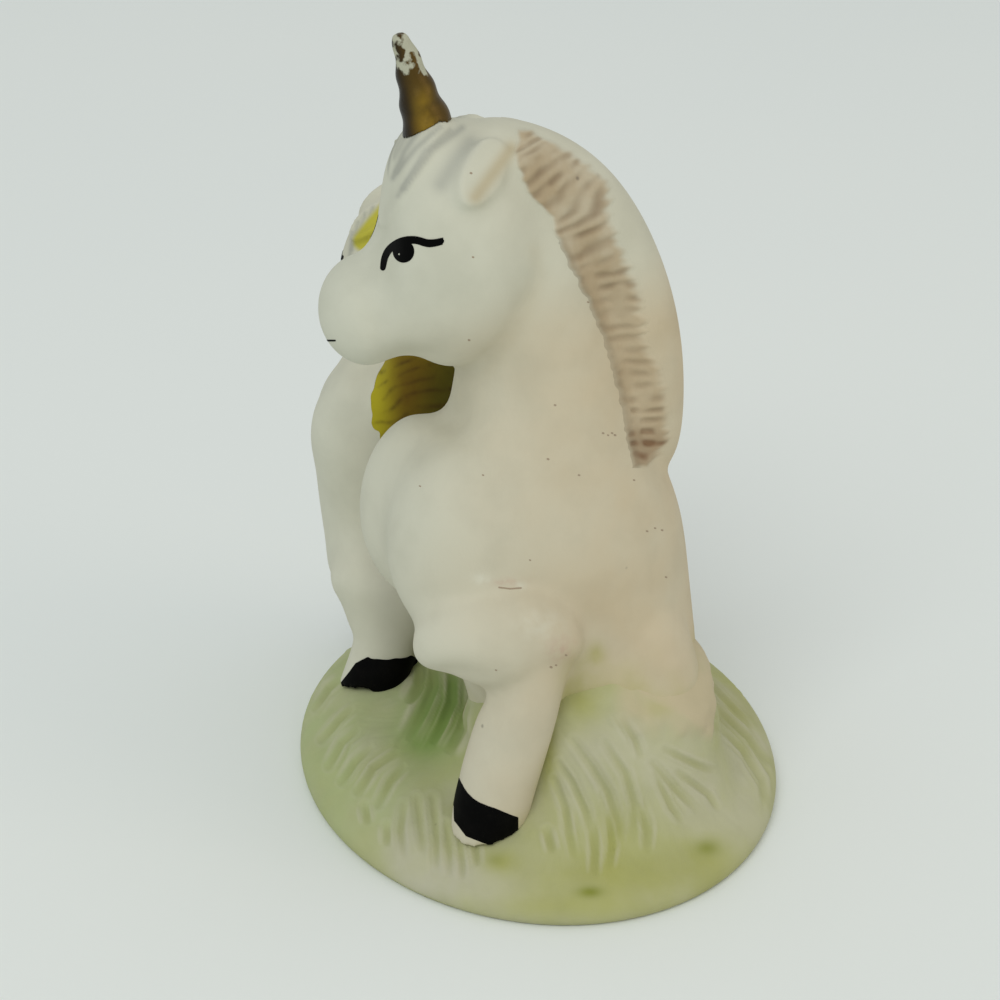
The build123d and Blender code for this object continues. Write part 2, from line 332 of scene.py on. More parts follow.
def cut(close, away, along, press, wide, lip_away, lip_wide):
    """One stroke of the cutting tool: a groove tapering at both ends, with a lip pushed up beside it."""
    drawn = np.clip(blunt_start + (1 - blunt_start) * along, 0, 1)
    taper = press * np.sin(math.pi * drawn) ** taper_power
    groove[close] = np.maximum(groove[close], taper * np.exp(-(away / wide) ** 2))
    lip[close] = np.maximum(lip[close], taper * np.exp(-((away - lip_away) / lip_wide) ** 2))


hand = np.random.default_rng(7)
thin_stroke, broad_stroke = (3.4, 1.0, 6), (5.6, 1.5, 9)
stray, slip_along, lip_apart, stroke_reach = 1.5, 0.15, 1.9, 20
beside_wide, beside_press = 0.6, (0.25, 0.6)
for (tool_wide, tool_press, apart), strokes in (
    (thin_stroke, right_strokes), (broad_stroke, hollow_strokes), (thin_stroke, left_strokes),
):
    for spots in strokes:
        for side in (0, -1, 1):
            path = np.array(spots, float)
            run = path[-1] - path[0]
            aside = np.array([-run[1], run[0]]) / np.hypot(*run)
            wide, press = tool_wide, tool_press
            if side:
                path += aside * apart * side + hand.normal(0, stray, 2)
                path += run * hand.uniform(-slip_along, slip_along)
                wide, press = tool_wide * beside_wide, tool_press * hand.uniform(*beside_press)
            low, high = path.min(axis=0) - stroke_reach, path.max(axis=0) + stroke_reach
            box = ((photo_ground > low) & (photo_ground < high)).all(axis=1)
            close = np.flatnonzero(box & (shown > 0))
            away, along = from_stroke(path, photo_ground[close])
            cut(close, away, along, press * shown[close], wide, lip_apart * wide, wide)

base_half = np.array(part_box("grass_base")[1])[:2]
unseen_strokes, stroke_steps, blade_ring = 330, 5, (0.30, 0.86)
blade_step, blade_press, aim_stray, curl_stray = (0.0009, 0.0018), (0.5, 1.0), 0.30, 0.14
blade_wide, blade_lip, blade_reach, seen_share = 0.00045, 0.0005, 0.0022, 0.86
for _ in range(unseen_strokes):
    turn = hand.uniform(0, math.tau)
    ray = np.array([math.cos(turn), math.sin(turn)])
    spots = [hand.uniform(*blade_ring) * (base_half * ray)]
    heading = math.atan2(*(ray / base_half)[::-1]) + hand.normal(0, aim_stray)
    curl, step = hand.normal(0, curl_stray), hand.uniform(*blade_step)
    for _ in range(stroke_steps):
        spots.append(spots[-1] + step * np.array([math.cos(heading), math.sin(heading)]))
        heading += curl
    low, high = np.min(spots, axis=0) - blade_reach, np.max(spots, axis=0) + blade_reach
    close = np.flatnonzero(((ground[:, :2] > low) & (ground[:, :2] < high)).all(axis=1))
    away, along = from_stroke(spots, ground[close, :2])
    press = hand.uniform(*blade_press) * (1 - seen_share * shown[close])
    cut(close, away, along, press, blade_wide, 2 * blade_wide, blade_lip)

column_left = ((610, 660, 700, 740), (614, 621, 632, 655))
column_foot = ((620, 640, 665, 703, 712), (690, 703, 716, 737, 737))
column_right, left_soft, foot_soft, large_side = 708, (-7, 6), (9, -9), 0.01
column = fade(*left_soft, across - np.interp(down, *column_left))
column *= fade(*foot_soft, down - np.interp(across, *column_foot)) * shown
column *= (across < column_right) & (ground[:, 0] > large_side)
seat_reach, seat_soft = 0.004, (0.0034, 0.0004)
by_body = np.zeros(len(ground))
waver = 0.0012 * drift(ground, 0.0022, 51.0)
for node in ("large_torso", "large_left_haunch", "small_torso"):
    by_body = np.maximum(by_body, fade(*seat_soft, gap_to(ground, node, seat_reach) + waver))
knoll_lift, column_lift, seat_lift = 0.00045, 0.0004, 0.0006
knoll_rise, seat_rise, rim_rise = (0.0055, 0.0085), (0.0085, 0.0110), (0.0012, 0.0036)
lift = knoll_lift * fade(*knoll_rise, height) + column_lift * column
lift += seat_lift * by_body * fade(*seat_rise, height)
lip_height, groove_depth, faces_up = 0.00018, 0.00034, (-0.1, 0.25)
cutting = fade(*rim_rise, height) * fade(*faces_up, out[:, 2])
lip *= (1 - groove) * (1 - column)
groove *= 1 - column
thumb(mound, lift + (lip_height * lip - groove_depth * groove) * cutting)
mark(mound, "cut", groove * cutting)
mark(mound, "worn_lip", lip * cutting)
bare_from, bare_share = (628, 606), 0.75
mark(mound, "bare_clay", np.maximum(column, bare_share * by_body * (1 - shown * fade(*bare_from, across))))

deep_green_dabs = (((438, 715), 34, 44, 1.0), ((455, 690), 16, 24, 0.5), ((420, 745), 26, 18, 0.5))
yellow_green_dabs = (
    ((620, 878), 105, 26, 0.75), ((548, 752), 10, 48, 0.9), ((500, 862), 17, 10, 0.8),
    ((700, 860), 48, 24, 0.5), ((735, 700), 26, 26, 0.55), ((612, 840), 14, 34, 0.45),
    ((652, 709), 17, 9, 0.8), ((582, 706), 22, 22, 0.8), ((570, 908), 90, 14, 0.6),
)
lime_dabs = (((590, 892), 13, 6, 1.0), ((707, 848), 12, 8, 0.8), ((495, 860), 9, 6, 0.35))
chalky_dabs = (
    ((440, 880), 52, 36, 1.0), ((655, 770), 55, 36, 0.75), ((370, 745), 26, 14, 0.5),
    ((745, 790), 26, 40, 0.5), ((405, 845), 30, 40, 0.6), ((590, 745), 34, 26, 0.5),
)
hollow_side, cool_across, cool_down, cool_back = -0.012, (500, 350), (880, 800), (0.0, -0.02)
mark(mound, "deep_green", (ground[:, 0] > hollow_side) * shown * patches(photo_ground, deep_green_dabs))
cool_side = fade(*cool_across, across) * fade(*cool_down, down)
mark(mound, "cool_green", cool_side + (1 - shown) * fade(*cool_back, ground[:, 0]))
mark(mound, "yellow_green", shown * patches(photo_ground, yellow_green_dabs))
mark(mound, "lime_spots", shown * patches(photo_ground, lime_dabs))
mark(mound, "chalky", shown * patches(photo_ground, chalky_dabs))


def grain_group():
    """Unglazed bisque: slow mottling, fine grit, and the odd dark iron speck of a fired body."""
    group = bpy.data.node_groups.new("bisque_grain", "ShaderNodeTree")
    face = group.interface
    face.new_socket("Speck Amount", in_out="INPUT", socket_type="NodeSocketFloat").default_value = 1.0
    for name in ("Mottle", "Grit", "Specks"):
        face.new_socket(name, in_out="OUTPUT", socket_type="NodeSocketFloat")
    nodes, links = group.nodes, group.links
    entry, leave = nodes.new("NodeGroupInput"), nodes.new("NodeGroupOutput")
    place = nodes.new("ShaderNodeTexCoord")
    mottle = new_node(nodes, "ShaderNodeTexNoise", Scale=160, Detail=5)
    grit = new_node(nodes, "ShaderNodeTexNoise", Scale=2600, Detail=3)
    pick = new_node(nodes, "ShaderNodeTexNoise", Scale=62)
    cells = new_node(nodes, "ShaderNodeTexVoronoi", Scale=170, Randomness=1.0)
    dot = new_node(nodes, "ShaderNodeMapRange", From_Min=0.020, From_Max=0.055, To_Min=1.0, To_Max=0.0)
    few = new_node(nodes, "ShaderNodeMapRange", From_Min=0.52, From_Max=0.62)
    both, amount = (nodes.new("ShaderNodeMath") for _ in range(2))
    both.operation = amount.operation = "MULTIPLY"
    for texture in (mottle, grit, cells, pick):
        links.new(place.outputs["Object"], texture.inputs["Vector"])
    links.new(cells.outputs["Distance"], dot.inputs["Value"])
    links.new(pick.outputs["Fac"], few.inputs["Value"])
    links.new(dot.outputs["Result"], both.inputs[0])
    links.new(few.outputs["Result"], both.inputs[1])
    links.new(both.outputs[0], amount.inputs[0])
    links.new(entry.outputs["Speck Amount"], amount.inputs[1])
    links.new(mottle.outputs["Fac"], leave.inputs["Mottle"])
    links.new(grit.outputs["Fac"], leave.inputs["Grit"])
    links.new(amount.outputs[0], leave.inputs["Specks"])
    return group


bisque_grain = grain_group()


class Finish:
    """A fired finish built layer by layer over one colour, as the decorator lays it on."""

    def __init__(self, name, colour, roughness, specks):
        self.material = bpy.data.materials.new(name)
        self.material.use_nodes = True
        self.nodes, self.links = self.material.node_tree.nodes, self.material.node_tree.links
        self.shader = self.nodes["Principled BSDF"]
        self.shader.inputs["Roughness"].default_value = roughness
        self.shader.inputs["Specular IOR Level"].default_value = 0.25
        self.grain = self.nodes.new("ShaderNodeGroup")
        self.grain.node_tree = bisque_grain
        self.grain.inputs["Speck Amount"].default_value = specks
        body = self.nodes.new("ShaderNodeRGB")
        body.outputs[0].default_value = (*colour, 1)
        self.colour = body.outputs[0]

    def amount(self, name):
        layer = self.nodes.new("ShaderNodeAttribute")
        layer.attribute_name = name
        return layer.outputs["Fac"]

    def ranged(self, value, low, high, bottom=0.0, top=1.0):
        ramp = new_node(self.nodes, "ShaderNodeMapRange", From_Min=low, From_Max=high,
                        To_Min=bottom, To_Max=top)
        self.links.new(value, ramp.inputs["Value"])
        return ramp.outputs["Result"]

    def times(self, one, other, operation="MULTIPLY"):
        sum_node = self.nodes.new("ShaderNodeMath")
        sum_node.operation = operation
        for number, value in enumerate((one, other)):
            if isinstance(value, (int, float)):
                sum_node.inputs[number].default_value = value
            else:
                self.links.new(value, sum_node.inputs[number])
        return sum_node.outputs[0]

    def texture(self, scale, detail=4.0):
        place = self.nodes.new("ShaderNodeTexCoord")
        cloud = new_node(self.nodes, "ShaderNodeTexNoise", Scale=scale, Detail=detail)
        self.links.new(place.outputs["Object"], cloud.inputs["Vector"])
        return cloud.outputs["Fac"]

    def uneven(self, name, scale, cloud, cover, detail=4.0):
        """A painted amount that lies thinner and thicker over the surface, as a wash dries."""
        return self.times(self.amount(name), self.ranged(self.texture(scale, detail), *cloud, *cover))

    def wash(self, colour, amount, blend="MIX"):
        mix = self.nodes.new("ShaderNodeMix")
        mix.data_type = "RGBA"
        mix.blend_type = blend
        self.links.new(amount, mix.inputs["Factor"])
        self.links.new(self.colour, mix.inputs["A"])
        mix.inputs["B"].default_value = (*colour, 1)
        self.colour = mix.outputs["Result"]

    def fire(self, grit_height=0.00004):
        """The finished material, with the fired body's mottling, iron specks and grit."""
        mottle_grey, iron_brown = (0.80, 0.80, 0.78), (0.10, 0.085, 0.07)
        mottling = self.ranged(self.grain.outputs["Mottle"], 0.42, 0.68, 0.0, 0.35)
        self.wash(mottle_grey, mottling, "MULTIPLY")
        self.wash(iron_brown, self.times(self.grain.outputs["Specks"], 0.8))
        self.links.new(self.colour, self.shader.inputs["Base Color"])
        bump = new_node(self.nodes, "ShaderNodeBump", Strength=0.35, Distance=grit_height)
        self.links.new(self.grain.outputs["Grit"], bump.inputs["Height"])
        self.links.new(bump.outputs["Normal"], self.shader.inputs["Normal"])
        return self.material


pale_green, olive_drift, cool_green = (0.46, 0.455, 0.29), (0.39, 0.405, 0.16), (0.385, 0.445, 0.215)
yellow_green, chalk, groove_olive = (0.36, 0.365, 0.09), (0.50, 0.485, 0.36), (0.27, 0.28, 0.07)
lip_white, deep_green, lime = (0.52, 0.50, 0.37), (0.165, 0.27, 0.055), (0.20, 0.225, 0.02)
bare_beige = (0.53, 0.455, 0.30)
green = Finish("green_washed_bisque", pale_green, roughness=0.85, specks=0.6)
green.wash(olive_drift, green.times(green.ranged(green.texture(95, 5.0), 0.36, 0.64), 0.7))
green.wash(cool_green, green.uneven("cool_green", 140, (0.3, 0.65), (0.35, 0.85)))
green.wash(yellow_green, green.uneven("yellow_green", 110, (0.3, 0.6), (0.6, 1.0)))
green.wash(chalk, green.uneven("chalky", 170, (0.3, 0.65), (0.45, 0.95)))
green.wash(groove_olive, green.ranged(green.amount("cut"), 0.15, 0.9, 0.0, 0.28))
green.wash(lip_white, green.ranged(green.amount("worn_lip"), 0.25, 1.0, 0.0, 0.55))
off_lips = green.ranged(green.amount("worn_lip"), 0.2, 0.9, 0.85, 0.30)
green.wash(deep_green, green.times(green.amount("deep_green"), off_lips))
green.wash(lime, green.times(green.amount("lime_spots"), 0.85))
green.wash(bare_beige, green.uneven("bare_clay", 150, (0.3, 0.55), (0.6, 0.95)))
mound.data.materials.append(green.fire())
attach(mound, "root")
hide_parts("grass_base")

# Animal bodies: torso, neck, head, mane, forelegs, haunches and tail are separate castings in
# white slip, luted and sponged so that every joint runs soft; ears and forelock are sprigs.
body_words = ("torso", "neck", "mane", "head", "left_foreleg", "left_fore_hoof", "left_haunch",
              "right_foreleg", "right_fore_hoof", "right_haunch", "tail")
sprig_words = ("forelock", "left_ear", "right_ear")
washed_words = ("mane", "tail", "left_fore_hoof", "right_fore_hoof")


def nodes_of(size_word, words):
    return [f"{size_word}_{word}" for word in words]


def cast_animal(size_word):
    """One animal: its castings luted first, then the sprigs pressed on and the whole rubbed soft."""
    bodies, sprigs = nodes_of(size_word, body_words), nodes_of(size_word, sprig_words)
    plain = cast_form(size_word + "_plain", castings(*bodies), grain=0.00042, fillet=0.0007, soften=8)
    pressed = [plain.data, *castings(*sprigs)]
    body = cast_form(size_word + "_unicorn_body", pressed, grain=0.00036, fillet=0, soften=5)
    bpy.data.objects.remove(plain)
    washed = nodes_of(size_word, washed_words)
    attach(body, "root")
    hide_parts(*[node for node in bodies if node not in washed], *sprigs)
    return body


large_seat, large_yaw = np.array([0.01304, -0.00297]), math.radians(10)
large_ahead = np.array([math.sin(large_yaw), -math.cos(large_yaw)])
large_left = np.array([math.cos(large_yaw), math.sin(large_yaw)])
chest_middle, chest_half = np.array([0.016, -0.016]), np.array([0.019, 0.016])
chest_tall, valley_tall, throat_tall = (
    (0.039, 0.045, 0.056, 0.063), (0.019, 0.026, 0.056, 0.062), (0.043, 0.048, 0.062, 0.066))
valley_front, valley_side = (0.006, 0.010), (0.0125, 0.008)
large_body = cast_animal("large")
skin = points_of(large_body)
chest = np.exp(-(((skin[:, :2] - chest_middle) / chest_half) ** 4).sum(axis=1))
sponge(large_body, chest * band(skin[:, 2], *chest_tall), rounds=420, rub=0.12)
skin = points_of(large_body)
forward = (skin[:, :2] - large_seat) @ large_ahead
sideways = np.abs((skin[:, :2] - large_seat) @ large_left)
valley = fade(*valley_front, forward) * fade(*valley_side, sideways)
sponge(large_body, valley * band(skin[:, 2], *valley_tall), rounds=420, rub=0.25)
for side_word in ("left", "right"):
    low, high = (np.array(corner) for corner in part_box(f"large_{side_word}_ear"))
    from_ear = (points_of(large_body) - (low + high) / 2) / (0.55 * (high - low))
    sponge(large_body, np.exp(-(from_ear ** 4).sum(axis=1)), rounds=26, rub=0.8)
throat_dab, throat_depth, throat_front = ((444, 412), 24, 22, 1.0), 0.0021, (0.004, -0.004)
skin = points_of(large_body)
throat = patches(on_photo(skin), (throat_dab,)) * fade(*throat_front, skin[:, 1])
thumb(large_body, -throat_depth * throat * band(skin[:, 2], *throat_tall))
shoulder_and_elbow = (((452, 684), 40, 20, -0.0016), ((570, 648), 20, 24, 0.0012))
foreleg_side, above_hoof = 0.02, (0.012, 0.016)
skin = points_of(large_body)
thumbed = patches(on_photo(skin), shoulder_and_elbow) * (skin[:, 0] > foreleg_side)
thumb(large_body, thumbed * fade(*above_hoof, skin[:, 2]))
jaw_dab, jaw_depth, jaw_side, above_throat = ((415, 362), 26, 13, 1.0), 0.0012, (0.010, 0.017), (0.048, 0.053)
skin = points_of(large_body)
jaw = patches(on_photo(skin), (jaw_dab,)) * fade(*jaw_side, skin[:, 0]) * fade(*above_throat, skin[:, 2])
thumb(large_body, -jaw_depth * jaw)

breast_front, foreleg_front, knee_front = (-0.002, -0.010), (-0.002, -0.008), (0.0, -0.006)
breast_tall, foreleg_tall, leg_and_breast_tall = (
    (0.012, 0.018, 0.050, 0.056), (0.0145, 0.0185, 0.034, 0.040), (0.0145, 0.0175, 0.036, 0.044))
small_body = cast_animal("small")
skin = points_of(small_body)
chest = fade(*breast_front, skin[:, 1]) * band(skin[:, 2], *breast_tall)
sponge(small_body, chest, rounds=420, rub=0.15)
skin = points_of(small_body)
foreleg = fade(*foreleg_front, skin[:, 1]) * band(skin[:, 2], *foreleg_tall)
sponge(small_body, foreleg, rounds=170, rub=0.8)
knee_and_shin = (((332, 568), 14, 17, 0.0008), ((334, 604), 17, 13, -0.0009))
skin = points_of(small_body)
thumb(small_body, patches(on_photo(skin), knee_and_shin) * fade(*knee_front, skin[:, 1]))
foreleg = fade(*foreleg_front, skin[:, 1]) * band(skin[:, 2], *leg_and_breast_tall)
sponge(small_body, foreleg, rounds=130, rub=0.9)

head_seats = {"large": np.array([0.01391, -0.00789, 0.06307]),
              "small": np.array([-0.02196, -0.01047, 0.04734])}
head_middle = head_seats["large"][0]
grass_tint_dabs = (((580, 686), 15, 26, 1.2), ((596, 655), 9, 11, 1.0), ((604, 696), 12, 14, 0.8),
                   ((652, 708), 15, 8, 0.7))
forelock_strokes = (
    (((418, 131), (404, 152), (393, 178)), 3.2, 0.9), (((462, 128), (432, 150), (404, 188)), 3.6, 0.9),
    (((470, 142), (456, 160), (441, 184)), 9.0, 0.75), (((440, 127), (416, 148), (397, 172)), 3.0, 0.8),
    (((450, 130), (424, 152), (398, 196)), 2.8, 0.7), (((404, 139), (394, 158)), 2.6, 0.6),
)
ear_fold = ((476, 197), (490, 178), (511, 149))
cheek_crease = ((535, 252), (541, 276), (526, 310), (490, 368))
scuff_dabs = (((562, 650), 13, 12, 1.0), ((508, 582), 15, 4, 0.9))
chip_dabs = (((481, 579), 9, 5, 1.0), ((520, 586), 6, 4, 0.8), ((540, 625), 26, 16, 0.5))
small_lock_strokes = (((352, 250), (358, 222)), ((357, 243), (365, 213)), ((349, 262), (352, 232)),
                      ((364, 232), (373, 207)))
yellow_lock_line, yellow_lock_half = ((363, 241), (373, 228), (390, 208)), 12
small_ear_half = np.array([0.0034, 0.0030, 0.0034])
warm_side_back, crown = (-0.032, 0.006), (0.066, 0.078)
stain_soft, stain_back = (0.0042, 0.0002), (-0.018, -0.004)
small_shade_across, small_shade_low = (352, 392), (0.048, 0.040)


def soft_line(spots, pixels, wide):
    return np.exp(-(from_stroke(spots, pixels)[0] / wide) ** 2)


def turned_to_photo(form):
    return fade(-0.02, 0.15, normals_of(form) @ photo_side)


def paint_body(form, size_word):
    """The washes brushed over one animal, painted warm light and painted shade among them, kept on any form
    that lies on its skin.
    """
    skin, facing = points_of(form), turned_to_photo(form)
    pixels, height = on_photo(skin), skin[:, 2]
    # beige rising towards +Y, partly an airbrushed blush and partly painted warm light from the fill lamp's
    # side; thinner on the crown
    warm_side = fade(*warm_side_back, skin[:, 1] + 0.003 * drift(skin, 0.02, 5.0))
    mark(form, "beige_blush_and_warm_light", warm_side * (1 - 0.75 * fade(*crown, height)))
    grass_gap = gap_to(skin, "grass_base", 0.005) + 0.0016 * drift(skin, 0.003, 7.0)
    tint = fade(*stain_soft, grass_gap) * fade(*stain_back, skin[:, 1])
    strokes_and_shade = np.zeros(len(skin))
    if size_word == "large":
        near = (skin[:, 0] > 0.012) * facing
        mirrored = skin.copy()
        mirrored[:, 0] = head_middle + np.abs(skin[:, 0] - head_middle)
        lock_pixels = on_photo(mirrored)
        tint = 0.6 * tint + near * patches(pixels, grass_tint_dabs)
        for spots, wide, strong in forelock_strokes:
            strokes_and_shade += strong * soft_line(spots, lock_pixels, wide) * (height > 0.07)
        ear = near * (soft_line(ear_fold, pixels, 8.0) + 0.20 * soft_line(cheek_crease, pixels, 9.0))
        mark(form, "pink_scuff", near * patches(pixels, scuff_dabs))
        mark(form, "white_chips", near * patches(pixels, chip_dabs))
    else:
        for spots in small_lock_strokes:
            strokes_and_shade += 0.8 * facing * soft_line(spots, pixels, 2.0)
        # painted shade: the smaller body greyed low down and towards the larger one, which shades it
        strokes_and_shade += 0.5 * fade(*small_shade_across, pixels[:, 0]) * fade(*small_shade_low, height)
        yellow_lock = fade(1, -5, from_stroke(yellow_lock_line, pixels)[0] - yellow_lock_half)
        low, high = (np.array(corner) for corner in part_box("small_right_ear"))
        hollow = np.exp(-np.linalg.norm((skin - (low + high) / 2) / small_ear_half, axis=1) ** 2)
        ear = facing * yellow_lock * (height > 0.055) + hollow
    mark(form, "ear_tint", ear)
    mark(form, "grass_tint", tint)
    mark(form, "grey_strokes_and_shade", strokes_and_shade)


bisque_white, blush_and_warm_light_beige, stroke_and_shade_grey = (0.60, 0.605, 0.50), (0.555, 0.455, 0.30), (0.34, 0.345, 0.30)
scuff_pink, chip_white, grass_stain = (0.52, 0.36, 0.28), (0.66, 0.645, 0.53), (0.42, 0.39, 0.14)
ear_beige, ear_yellow = (0.44, 0.35, 0.19), (0.48, 0.44, 0.03)


def white_bisque(name, ear_colour, ear_strength):
    white = Finish(name, bisque_white, roughness=0.82, specks=1.3)
    # beige blush with painted warm light
    white.wash(blush_and_warm_light_beige, white.uneven("beige_blush_and_warm_light", 70, (0.3, 0.7), (0.60, 0.95)))
    # grey forelock strokes, with painted shade on the smaller body
    white.wash(stroke_and_shade_grey, white.times(white.amount("grey_strokes_and_shade"), 0.72))
    white.wash(ear_colour, white.times(white.amount("ear_tint"), ear_strength))
    white.wash(scuff_pink, white.uneven("pink_scuff", 900, (0.4, 0.6), (0.1, 0.6)))
    white.wash(chip_white, white.uneven("white_chips", 700, (0.35, 0.6), (0.2, 0.9)))
    white.wash(grass_stain, white.uneven("grass_tint", 120, (0.35, 0.6), (0.25, 0.85)))
    return white


paint_body(large_body, "large")
paint_body(small_body, "small")
large_body.data.materials.append(white_bisque("white_bisque_beige_ears", ear_beige, 0.62).fire())
small_body.data.materials.append(white_bisque("white_bisque_yellow_ears", ear_yellow, 0.95).fire())

# Manes and tails: thick cast crests, their washes brushed over the white body as thin coats. The
# larger animal's hair is combed in with short strokes that hold brown; the smaller one's is mustard, with
# painted light and shade where it shows under the larger one's throat.
well_outside = -0.002
coat_overlap, coat_root = 0.0009, 0.00006


def split_finer(points, out, faces):
    """Each triangle cut into four through the middles of its sides."""
    used, faces = np.unique(faces, return_inverse=True)
    points, out, faces = points[used], out[used], faces.reshape(-1, 3)
    edges = np.sort(faces[:, [[0, 1], [1, 2], [2, 0]]].reshape(-1, 2), axis=1)
    pairs, places = np.unique(edges, axis=0, return_inverse=True)
    a, b, c = faces.T
    ab, bc, ca = (places.reshape(-1, 3) + len(points)).T
    corners = ((a, ab, ca), (ab, b, bc), (ca, bc, c), (ab, bc, ca))
    points = np.vstack([points, points[pairs].mean(axis=1)])
    out = np.vstack([out, out[pairs].mean(axis=1)])
    return points, out, np.vstack([np.stack(corner, 1) for corner in corners])


def brushed_coat(name, body, amount, finer, thick):
    """The part of the body where the amount is above zero, trimmed along its edge, as a thin closed coat.
    The amount is a distance in metres. Thick is the coat's thickness, or a function giving it by point."""
    mesh = body.data
    mesh.calc_loop_triangles()
    faces = np.zeros(len(mesh.loop_triangles) * 3, int)
    mesh.loop_triangles.foreach_get("vertices", faces)
    faces = faces.reshape(-1, 3)
    points, out = points_of(body), normals_of(body)
    faces = faces[(amount(points, out)[faces] > -coat_overlap).any(axis=1)]
    for _ in range(finer):
        points, out, faces = split_finer(points, out, faces)
    level = amount(points, out)
    faces = faces[(level[faces] > 0).any(axis=1)]
    points, out, level = list(map(Vector, points)), list(map(Vector, out)), list(level)
    crossing, kept = {}, []

    def cross(one, other):
        key = (min(one, other), max(one, other))
        if key not in crossing:
            share = level[one] / (level[one] - level[other])
            crossing[key] = len(points)
            points.append(points[one].lerp(points[other], share))
            out.append(out[one].lerp(out[other], share))
        return crossing[key]

    for face in faces.tolist():
        ring = []
        for here, there in zip(face, face[1:] + face[:1]):
            if level[here] > 0:
                ring.append(here)
            if (level[here] > 0) != (level[there] > 0):
                ring.append(cross(here, there))
        kept.append(ring)
    coat = bmesh.new()
    used = sorted({number for ring in kept for number in ring})
    heights = np.full(len(used), thick) if not callable(thick) else thick(np.array([points[n] for n in used]))
    top, under = {}, {}
    for sheet, rises in ((top, heights.tolist()), (under, [-coat_root] * len(used))):
        for number, rise in zip(used, rises):
            sheet[number] = coat.verts.new(points[number] + out[number].normalized() * rise)
    sides = {}
    for ring in kept:
        if len(set(ring)) < 3:
            continue
        coat.faces.new([top[number] for number in ring]).smooth = True
        coat.faces.new([under[number] for number in reversed(ring)]).smooth = True
        sides.update(dict.fromkeys(zip(ring, ring[1:] + ring[:1])))
    for here, there in sides:
        if (there, here) not in sides:
            coat.faces.new([top[there], top[here], under[here], under[there]])
    coated = bpy.data.meshes.new(name)
    coat.to_mesh(coated)
    coat.free()
    brushed = bpy.data.objects.new(name, coated)
    scene.collection.objects.link(brushed)
    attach(brushed, "root")
    return brushed


mane_top, mane_foot, comb_pitch = 128, 468, 11.7
mane_inner = ((137, 161, 193, 213, 255, 301, 337, 389, 439, 466),
              (516, 514, 526, 547, 564, 587, 602, 617, 627, 633))
mane_outer = ((128, 150, 161, 181, 225, 255, 284, 313, 343, 372, 410, 442, 466),
              (522, 562, 578, 602, 606, 620, 631, 637, 640, 656, 661, 664, 640))
comb_slope = ((137, 200, 260, 330, 460), (0.70, 0.50, 0.22, 0.05, 0.0))


def large_mane_wash(points):
    """Edge distance, strokes and lower end of the brown wash, and a painted shade line along its inner edge,
    the same on both sides of the mane.
    """
    left = np.append(large_left, 0)
    side = (points - np.append(large_seat, 0)) @ left
    seen = points + (np.abs(side) - side)[:, None] * left
    x, y = on_photo(seen).T
    inside = x - np.interp(y, *mane_inner)
    ragged = 7 * drift(seen * np.array([0.4, 0.4, 3.0]), 0.0022, 14.0)
    outside = 0.45 * (np.interp(y, *mane_outer) + 9 - x + ragged)
    edge = np.minimum(np.minimum(inside + 0.4 * ragged, outside), np.minimum(y - mane_top, mane_foot - y))
    wave = (y + np.interp(y, *comb_slope) * inside) / comb_pitch
    wave += 0.42 * drift(seen * np.array([0.5, 0.5, 1.0]), 0.0030, 4.0)
    strokes = (0.5 + 0.5 * np.cos(math.tau * wave)) ** 1.2 * fade(-0.6, 0.35, drift(seen, 0.0022, 18.0))
    strokes *= 1 - 0.45 * band(y, 290, 320, 385, 415)
    on_mane = (np.abs(side) > 0.0015) & (y > 120) & (y < 475) & (points[:, 1] > -0.012)
    edge = np.where(on_mane, edge / pixels_per_metre, well_outside)
    return edge, strokes, fade(418, 445, y), fade(9, 1.5, np.abs(inside - 2)) * fade(228, 250, y)


def mane_edge(points, out):
    return large_mane_wash(points)[0]


def mane_relief(points):
    edge, strokes, _, _ = large_mane_wash(points)
    return 0.00001 + 0.00022 * fade(0, 0.0006, edge) * (1 - strokes)


mane_coat = brushed_coat("large_mane_brown_wash", large_body, mane_edge, 2, mane_relief)
edge, strokes, lower_end, inner_edge_shade = large_mane_wash(points_of(mane_coat))
mark(mane_coat, "wash_band", fade(0, 0.0007, edge))
mark(mane_coat, "comb_strokes", strokes * fade(0, 0.0005, edge))
mark(mane_coat, "lower_end", lower_end * fade(0, 0.0006, edge))
mark(mane_coat, "inner_edge_shade", inner_edge_shade)
paint_body(mane_coat, "large")
band_brown, comb_brown = (0.445, 0.345, 0.215), (0.235, 0.165, 0.10)
end_brown, edge_shade_brown = (0.20, 0.105, 0.05), (0.25, 0.20, 0.13)
brown = white_bisque("brown_combed_wash", ear_beige, 0.62)
brown.wash(band_brown, brown.uneven("wash_band", 160, (0.3, 0.65), (0.45, 0.95)))
brown.wash(comb_brown, brown.uneven("comb_strokes", 210, (0.3, 0.65), (0.25, 0.70)))
in_strokes = brown.ranged(brown.amount("comb_strokes"), 0.1, 0.8, 0.35, 0.85)
brown.wash(end_brown, brown.times(brown.amount("lower_end"), in_strokes))
# painted shade: a thin darker line along the mane's raised inner step
brown.wash(edge_shade_brown, brown.times(brown.amount("inner_edge_shade"), 0.45))
mane_coat.data.materials.append(brown.fire())
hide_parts("large_mane")


def over_node(node, reach, waver, seed):
    """How far inside the patch of skin lying over one casting each point is."""
    def amount(points, out):
        return reach - gap_to(points, node, 0.0025) + waver * drift(points, 0.0016, seed)
    return amount


mustard, mustard_brown, lemon = (0.185, 0.125, 0.005), (0.12, 0.060, 0.004), (0.42, 0.36, 0.012)
shade_olive, hair_brown = (0.085, 0.080, 0.006), (0.06, 0.030, 0.003)
yellow = Finish("mustard_wash", mustard, roughness=0.85, specks=0.6)
yellow.wash(mustard_brown, yellow.ranged(yellow.texture(190), 0.42, 0.66, 0.0, 0.7))
